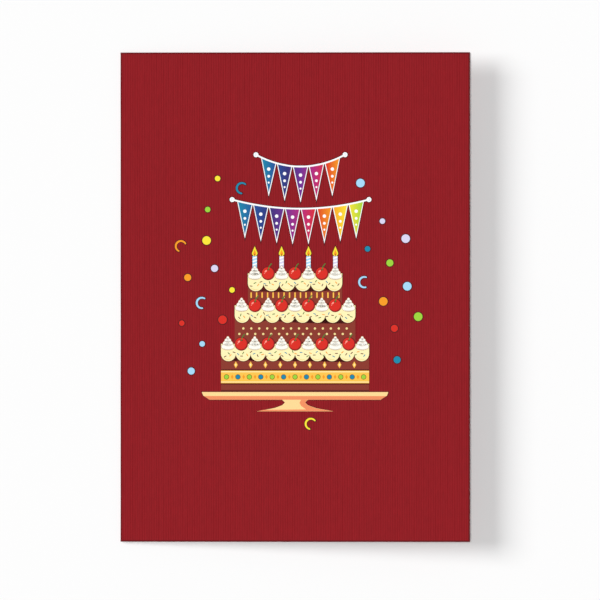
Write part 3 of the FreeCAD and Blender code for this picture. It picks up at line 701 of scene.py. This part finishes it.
# Printed candles
CANDLES = ["sky", "lilac", "sky", "lilac"]
CANDLE_HALF, CANDLE_HEIGHT, CANDLE_SINK, CANDLE_LINE = 0.8, 4.0, 0.4, 0.18
STRIPE_FOOT, STRIPE_PITCH, STRIPE_RISE, STRIPE_COUNT = 0.5, 1.2, 0.5, 3
FLAME_RADIUS, FLAME_HEIGHT, FLAME_LINE = 1.0, 2.6, 0.2
FLAME_CORE_RISE, FLAME_CORE = 0.85, (0.55, 1.5)
WICK_FOOT, WICK_TOP = -0.05, 0.7


def row_places(half, radius, pitch, margin):
    """Middles of an even row of rounds between a tier's sides, at least a pitch apart."""
    room = half - radius - margin
    count = int(room / pitch)
    return [number * room / count for number in range(-count, count + 1)]


def scallop_places(half):
    """Middles of the half rounds below a tier's icing, and their radius."""
    count = int(2 * half / SCALLOP_PITCH)
    radius = half / count
    return [-half + (2 * number + 1) * radius for number in range(count)], radius


def cherry(sheet, x, y):
    """A round cherry with a stalk, a dark side and highlights."""
    r = CHERRY_RADIUS
    sheet.stamp("line", "bitter", ellipse(x, y, r + CHERRY_LINE), DETAIL_TOP)
    sheet.stamp("red", "wine", ellipse(x, y, r), THIRD_TOP)
    lit = ellipse(x - CHERRY_SHIFT, y + CHERRY_SHIFT, r - CHERRY_DARK)
    sheet.stamp("red", "red", lit, THIRD_TOP + HAIR)
    for across, up, *form in CHERRY_SHINES:
        sheet.stamp("red", "blush", ellipse(x + across, y + up, *form), SPOT_TOP)
    foot_x, foot_y = x + STALK_FOOT[0], y + STALK_FOOT[1]
    stalk = [(foot_x + STALK_BEND * t * t, foot_y + STALK_HEIGHT * t) for t in (0, 0.2, 0.4, 0.6, 0.8, 1)]
    sheet.stamp("line", "leaf", stroke(stalk, STALK_WIDTH), SPOT_TOP)
    sheet.stamp("line", "bitter", ellipse(foot_x, foot_y, *DIMPLE, count=20), SPOT_TOP - HAIR)


def rosette(sheet, x, y):
    """A rosette of piped cream: turns that get smaller upwards, with grooves between them."""
    turns = [(y + rise, CHERRY_RADIUS * share, tall) for rise, share, tall in ROSETTE_TURNS]
    for middle, wide, tall in turns:
        line = ellipse(x, middle, wide + ROSETTE_LINE, tall + ROSETTE_LINE)
        sheet.stamp("line", "pearl_line", line, DETAIL_TOP)
    for middle, wide, tall in turns:
        sheet.stamp("piped_cream", "piped_cream", ellipse(x, middle, wide, tall), THIRD_TOP)
    for middle, wide, tall in turns[:-1]:
        curve = arc(x, middle, wide * GROOVE_SHARE, 205, 330, 14)
        curve = [(u, middle + (v - middle) * tall / wide) for u, v in curve]
        sheet.stamp("piped_cream", "pearl", stroke(curve, GROOVE_WIDTH, swelling), SPOT_TOP)


def sprinkles(sheet, half, low, high, count, seed):
    """Short strands strewn over an icing."""
    draw = random.Random(seed)
    for number in range(count):
        x = -half + 2 * half * (number + 0.2 + 0.6 * draw.random()) / count
        y = low + (high - low) * ((number * GOLDEN_SHARE) % 1)
        turn = math.radians(draw.uniform(-SPRINKLE_LEAN, SPRINKLE_LEAN))
        dx, dy = SPRINKLE_HALF * math.cos(turn), SPRINKLE_HALF * math.sin(turn)
        strand = stroke([(x - dx, y - dy), (x, y), (x + dx, y + dy)], SPRINKLE_WIDTH)
        sheet.stamp("sprinkle", SPRINKLE_INKS[number % len(SPRINKLE_INKS)], strand, DETAIL_TOP)


def cake_body(sheet):
    """The stepped body, with a dark line round it."""
    body = mirrored([place for half, low, top in reversed(TIERS) for place in ((half, top), (half, low))])
    sheet.stamp("line", "bitter", grown(body[::-1], LINE), LINE_TOP)
    sheet.stamp("chocolate", "chocolate", body, BASE_TOP)


def below_cake(places):
    """Places given by their depths below the cake."""
    return [(x, CAKE_FOOT - depth) for x, depth in places]


def stand(sheet):
    """A flat plate on a flared foot."""
    profile = mirrored(below_cake(STAND))
    sheet.stamp("line", "bitter", grown(profile, LINE), LINE_TOP)
    sheet.stamp("tan", "tan", profile, BASE_TOP)
    sheet.stamp("tan", "peach", mirrored(below_cake(PLATE_SHADE)), SHADE_TOP)
    sheet.stamp("tan", "peach", below_cake(STEM_SHADE), SHADE_TOP)
    sheet.stamp("tan", "butter", below_cake(PLATE_SHINE), SHADE_TOP)


def tier_shades(sheet):
    """A dark strip along each tier's foot."""
    for half, low, _ in TIERS:
        strip = box(INSET - half, low + INSET, half - INSET, low + TIER_SHADE_HEIGHT)
        sheet.stamp("chocolate", "bitter", strip, SHADE_TOP)


def band(sheet):
    """A gold band with a pale stripe along both edges, dots in two colours and diamonds between them."""
    half = BOTTOM_HALF
    foot = CAKE_FOOT + BAND_FOOT
    top = foot + BAND_HEIGHT
    dark = box(INSET - half, foot - BAND_LINE, half - INSET, top + BAND_LINE)
    sheet.stamp("chocolate", "bitter", dark, SHADE_TOP)
    sheet.stamp("gold", "gold", box(-half, foot, half, top), SECOND_TOP)
    for y in (foot + BAND_STRIPE_ROOM, top - BAND_STRIPE_ROOM):
        stripe = box(INSET - half, y - BAND_STRIPE_HALF, half - INSET, y + BAND_STRIPE_HALF)
        sheet.stamp("gold", "cream", stripe, DETAIL_TOP)
    y = foot + BAND_HEIGHT / 2
    dots = row_places(half, BAND_DOT, BAND_PITCH, BAND_MARGIN)
    for number, x in enumerate(dots):
        ink = "teal" if number % 2 else "lime"
        sheet.stamp("line", "bitter", ellipse(x, y, BAND_DOT + BAND_DOT_LINE, count=24), DETAIL_TOP)
        sheet.stamp(ink, ink, ellipse(x, y, BAND_DOT, count=24), THIRD_TOP)
        if number:
            between = (x + dots[number - 1]) / 2
            sheet.stamp("gold", "orange", lozenge(between, y, *BAND_DIAMOND), DETAIL_TOP)


def ornaments(sheet):
    """Gold diamonds on the bottom tier, pale dots on the middle one, gold bars on the top one."""
    for number in range(-4, 5):
        x = number * SCALLOP_PITCH
        sheet.stamp("gold", "gold", lozenge(x, DIAMOND_Y, *DIAMOND), SECOND_TOP)
        sheet.stamp("gold", "cream", lozenge(x, DIAMOND_Y, *DIAMOND_CORE), DETAIL_TOP)
    for row, y in enumerate(DOT_ROWS):
        for number in range(row - 7, 8):
            x = (number - row / 2) * DOT_PITCH
            sheet.stamp("cream", "butter", ellipse(x, y, DOT_RADIUS, count=20), SECOND_TOP)
    for number in range(-8, 9):
        x = number * BAR_PITCH
        sheet.stamp("gold", "gold", stroke([(x, BAR_FOOT), (x, BAR_TOP)], BAR_WIDTH), SECOND_TOP)


def icing(sheet, half, top):
    """A tier's icing: straight sides, a row of half rounds below, a shine on each, and sprinkles."""
    middles, radius = scallop_places(half)
    outline = [(half, top), (-half, top)]
    for x in middles:
        outline += arc(x, top - SCALLOP_DROP, radius, 180, 360, 14)
    sheet.stamp("line", "bitter", grown(outline, SCALLOP_LINE), SHADE_TOP)
    sheet.stamp("cream", "cream", outline, SECOND_TOP)
    for x in middles:
        shine = arc(x, top - SCALLOP_DROP, radius - SHINE_ROOM, 215, 300, 10)
        sheet.stamp("cream", "butter", stroke(shine, SHINE_WIDTH, swelling), DETAIL_TOP)
    side_room, low_room, high_room = SPRINKLE_ROOMS
    sprinkles(sheet, half - side_room, top - SCALLOP_DROP - low_room, top - CHERRY_RADIUS - high_room,
              int(half * SPRINKLES_A_MM), half)


def cake(sheet):
    """Three straight tiers with scalloped icing, cherries and piped cream, on a footed stand."""
    cake_body(sheet)
    stand(sheet)
    tier_shades(sheet)
    band(sheet)
    ornaments(sheet)
    for half, _, top in TIERS:
        icing(sheet, half, top)
        for number, x in enumerate(row_places(half, CHERRY_RADIUS, CHERRY_PITCH, CHERRY_MARGIN)):
            topping = cherry if number % 2 else rosette
            topping(sheet, x, top)


def candles(sheet):
    """Four striped candles with flames, spread evenly over the top tier."""
    top_half, _, cake_top = TIERS[-1]
    foot = cake_top + CHERRY_RADIUS
    rim = foot + CANDLE_HEIGHT
    room = top_half - CHERRY_RADIUS - CHERRY_MARGIN
    for number, ink in enumerate(CANDLES):
        x = (2 * number / (len(CANDLES) - 1) - 1) * room
        left, right = x - CANDLE_HALF, x + CANDLE_HALF
        stick = box(left, foot - CANDLE_SINK, right, rim)
        sheet.stamp("line", "bitter", grown(stick, CANDLE_LINE), LINE_TOP)
        sheet.stamp(ink, ink, stick, BASE_TOP)
        for step in range(STRIPE_COUNT):
            y = foot + STRIPE_FOOT + STRIPE_PITCH * step
            stripe = [(left, y), (right, y + STRIPE_RISE)]
            stripe += [(right, y + 2 * STRIPE_RISE), (left, y + STRIPE_RISE)]
            sheet.stamp(ink, "white", stripe, SHADE_TOP)
        drop = flame(x, rim + FLAME_RADIUS, FLAME_RADIUS, FLAME_HEIGHT)
        sheet.stamp("line", "line", grown(drop, FLAME_LINE), LINE_TOP)
        sheet.stamp("yellow", "yellow", drop, BASE_TOP)
        sheet.stamp("yellow", "orange", flame(x, rim + FLAME_CORE_RISE, *FLAME_CORE), SHADE_TOP)
        sheet.stamp("line", "bitter", stroke([(x, rim + WICK_FOOT), (x, rim + WICK_TOP)], LINE), SECOND_TOP)


# Confetti
CONFETTI = ["yellow", "sky", "red", "teal", "lilac", "orange", "sky", "lime"]
SCATTER_COUNT, GOLDEN_ANGLE = 70, 137.508
CONFETTI_REACH_X, CONFETTI_REACH_Y, CONFETTI_MIDDLE, CONFETTI_ROOM = 46.0, 53.0, 1.5, 2.6
CONFETTI_RADIUS, CONFETTI_GROWTH, CONFETTI_LINE = 1.0, 0.28, 0.3
CURL_EVERY, CURL_TURN, CURL_SWEEP = 5, 70, 215
CURL_RADIUS, CURL_WIDTH, CURL_LINE_WIDTH = 1.9, 0.72, 1.15


def confetti_places():
    """Places turned by the golden angle over an oval, clear of the artwork."""
    boxes = [(PLATE_HALF, 0, CAKE_FOOT - STAND_DEPTH, CAKE_FOOT), (TIERS[-1][0], 0, CAKE_FOOT, ROWS[1][2])]
    boxes += [(half, 0, CAKE_FOOT, top + CHERRY_RADIUS) for half, _, top in TIERS[:2]]
    boxes += [(len(flags) * FLAG_PITCH / 2 + FLAG_BORDER, FLAG_MIDDLE, top - FLAG_SAG - FLAG_DROP, top)
              for _, flags, top, _ in ROWS]
    room = CONFETTI_ROOM
    places = []
    for number in range(SCATTER_COUNT):
        share = round(math.sqrt((number + 0.5) / SCATTER_COUNT), 4)
        angle = math.radians(number * GOLDEN_ANGLE)
        x = share * CONFETTI_REACH_X * math.cos(angle)
        y = CONFETTI_MIDDLE + share * CONFETTI_REACH_Y * math.sin(angle)
        if all(abs(x - middle) > half + room or not foot - room < y < top + room
               for half, middle, foot, top in boxes):
            places.append((x, y))
    return places


def ribbon_taper(share):
    """A curl that is thinner at its ends."""
    return 0.75 + 0.25 * math.sin(math.pi * share)


def confetti(sheet):
    """Scattered dots and curls, each with a dark edge."""
    for number, (x, y) in enumerate(confetti_places()):
        ink = CONFETTI[number % len(CONFETTI)]
        if number % CURL_EVERY == 1:
            turn = CURL_TURN * number
            path = arc(x, y, CURL_RADIUS, turn, turn + CURL_SWEEP, 30)
            sheet.stamp("line", "line", stroke(path, CURL_LINE_WIDTH), LINE_TOP)
            sheet.stamp(ink, ink, stroke(path, CURL_WIDTH, ribbon_taper), BASE_TOP)
        else:
            radius = CONFETTI_RADIUS + CONFETTI_GROWTH * (number % 3)
            sheet.stamp("line", "line", ellipse(x, y, radius + CONFETTI_LINE), LINE_TOP)
            sheet.stamp(ink, ink, ellipse(x, y, radius), BASE_TOP)


def build_print():
    """Everything printed on the front cover."""
    inks = {name: ink_material(name) for name in INKS}
    for row, flags, _, colours in ROWS:
        reach = (len(flags) - 1) / 2 * FLAG_PITCH + FLAG_WIDTH / 2
        name = f"{row}_rainbow"
        inks[name] = gradient_material(name, colours, FLAG_MIDDLE - reach, FLAG_MIDDLE + reach)
    sheet = Print()
    bunting(sheet)
    cake(sheet)
    candles(sheet)
    confetti(sheet)
    sheet.finish(inks)


# Paper cake inside. Spots have a colour, a grain in millimetres, a size as a share of it, and a stretch
SPOTS = {
    "sponge": (("crumb", 2.1, 0.2, None), ("pale_crumb", 4.3, 0.07, None)),
    "icing": (("bitter", 3.4, 0.12, (1, 0.45, 1)), ("orange", 4.6, 0.09, (0.45, 1, 1))),
    "berry": (("tan", 1.25, 0.17, None),),
}
SPOT_CORE = 0.8
BOARD_RIM, BOARD_RIM_WIDTH, BOARD_BLUR = 50.0, 1.4, 0.1
CANDLE_RIM_X, CANDLE_STRIPE, STRIPE_RANGE = 27.3, 4.5, (0.46, 0.54)
FLAME_CORE_START, FLAME_BLUR = 1.2, 0.2


def spots(kind):
    """A pattern of small spots strewn over the card."""
    def pattern(tree, shade):
        for name, grain, size, stretch in SPOTS[kind]:
            cells = tree.nodes.new("ShaderNodeTexVoronoi")
            cells.inputs["Scale"].default_value = 1 / (grain * MM)
            tree.links.new(place_in_frame(tree, stretch), cells.inputs["Vector"])
            inside = spread(tree, cells.outputs["Distance"], size, size * SPOT_CORE)
            shade = blend_colours(tree, inside, shade, linear(name))
        return shade
    return pattern


def rimmed(tree, shade):
    """A round board with a line near its rim."""
    away = tree.nodes.new("ShaderNodeVectorMath")
    away.operation = "DISTANCE"
    away.inputs[1].default_value = (FOLD_X * MM, 0, FOLD_Z * MM)
    tree.links.new(place_in_frame(tree), away.inputs[0])
    for start, name in ((BOARD_RIM, "peach"), (BOARD_RIM + BOARD_RIM_WIDTH, "cream")):
        beyond = spread(tree, away.outputs["Value"], start * MM, (start + BOARD_BLUR) * MM)
        shade = blend_colours(tree, beyond, shade, linear(name))
    return shade


def candle_print(tree, shade):
    """Slanting white stripes on the stick, and a yellow flame."""
    stripes = spread(tree, waves(tree, "DIAGONAL", CANDLE_STRIPE), *STRIPE_RANGE)
    shade = blend_colours(tree, stripes, shade, linear("plain"))
    for start, name in ((CANDLE_RIM_X, "orange"), (CANDLE_RIM_X + FLAME_CORE_START, "gold")):
        beyond = spread(tree, place_across(tree), start * MM, (start + FLAME_BLUR) * MM)
        shade = blend_colours(tree, beyond, shade, linear(name))
    return shade


# Looks of the paper cake: the card's colour, the pattern on it, and the nodes made of it
LOOKS = {
    "sponge": ("sponge", spots("sponge"), ["lower_tier", "upper_tier"]),
    "icing": ("cream", spots("icing"), ["lower_icing", "upper_icing", "lower_top", "upper_top"]),
    "board": ("tan", rimmed, ["back_cake_board", "front_cake_board"]),
    "plain": ("plain", None, ["lower_centre_post", "upper_centre_post"]),
    "berry": ("berry", spots("berry"), ["lower_front_berries", "lower_back_berries", "upper_front_berries",
                                        "upper_back_berries"]),
    "candle": ("candle", candle_print, ["left_candle", "middle_candle", "right_candle"]),
}


def dress_paper_cake():
    """Card of its own colour and print for each piece that unfolds."""
    for name, (colour, pattern, members) in LOOKS.items():
        material = paper_material(f"{name}_paper", linear(colour), pattern)
        for member in members:
            node = nodes[member]
            node.data.materials.clear()
            node.data.materials.append(material)


# Floor, light and camera, in millimetres and degrees
FLOOR_HALF, FLOOR_DROP = 1500.0, 0.02
FLOOR_WHITE, FLOOR_ROUGHNESS = 0.985, 0.9
LAMPS = {
    "key": {"share": 0.375, "elevation": 40.0, "heading": 17.0, "size": 29.0},
    "fill": {"share": 0.505, "elevation": 88.5, "heading": 22.0, "size": 5.0},
}
SKY_STRENGTH = 0.12
CAMERA_DISTANCE = 8000.0
VIEW_WIDTH = 218.15
VIEW_X, VIEW_Y = 1.80, -1.06
SENSOR = 36.0
CLIP_END = 100


def build_floor():
    """A wide white table top, a hair below the card."""
    mesh = bpy.data.meshes.new("floor")
    corners = [(x * MM, y * MM, 0) for x, y in box(-FLOOR_HALF, -FLOOR_HALF, FLOOR_HALF, FLOOR_HALF)]
    mesh.from_pydata(corners, [], [(0, 1, 2, 3)])
    material, _, surface = shader("table_top", FLOOR_ROUGHNESS, 0.0)
    surface.inputs["Base Color"].default_value = (FLOOR_WHITE, FLOOR_WHITE, FLOOR_WHITE, 1)
    mesh.materials.append(material)
    floor = bpy.data.objects.new("floor", mesh)
    bpy.context.scene.collection.objects.link(floor)
    floor.location.z = -FLOOR_DROP * MM


def build_lamps():
    """A broad soft lamp from the upper left, and a lamp overhead."""
    for name, facts in LAMPS.items():
        elevation, heading = math.radians(facts["elevation"]), math.radians(facts["heading"])
        lamp = bpy.data.lights.new(name, "SUN")
        lamp.energy = facts["share"] * math.pi / math.sin(elevation)
        lamp.angle = math.radians(facts["size"])
        holder = bpy.data.objects.new(name, lamp)
        travel = Vector((math.cos(heading) * math.cos(elevation), -math.sin(heading) * math.cos(elevation),
                         -math.sin(elevation)))
        holder.rotation_euler = travel.to_track_quat("-Z", "Y").to_euler()
        bpy.context.scene.collection.objects.link(holder)


def build_sky():
    """A weak even sky, which the camera and glossy surfaces see as white."""
    world = bpy.data.worlds.new("sky")
    bpy.context.scene.world = world
    world.use_nodes = True
    tree = world.node_tree
    sky = tree.nodes["Background"]
    sky.inputs["Color"].default_value = (1, 1, 1, 1)
    path = tree.nodes.new("ShaderNodeLightPath")
    seen = tree.nodes.new("ShaderNodeMath")
    seen.operation = "MAXIMUM"
    tree.links.new(path.outputs["Is Camera Ray"], seen.inputs[0])
    tree.links.new(path.outputs["Is Glossy Ray"], seen.inputs[1])
    strength = spread(tree, seen.outputs["Value"], 0, 1, SKY_STRENGTH, 1.0)
    tree.links.new(strength, sky.inputs["Strength"])


def build_camera():
    """A long lens straight above the card."""
    data = bpy.data.cameras.new("camera")
    data.sensor_width = SENSOR
    data.lens = SENSOR * CAMERA_DISTANCE / VIEW_WIDTH
    data.clip_end = CLIP_END
    camera = bpy.data.objects.new("camera", data)
    camera.location = (VIEW_X * MM, VIEW_Y * MM, CAMERA_DISTANCE * MM)
    bpy.context.scene.collection.objects.link(camera)
    bpy.context.scene.camera = camera


build_cover()
build_print()
dress_paper_cake()
build_floor()
build_lamps()
build_sky()
build_camera()
bpy.context.scene.view_settings.view_transform = "Standard"
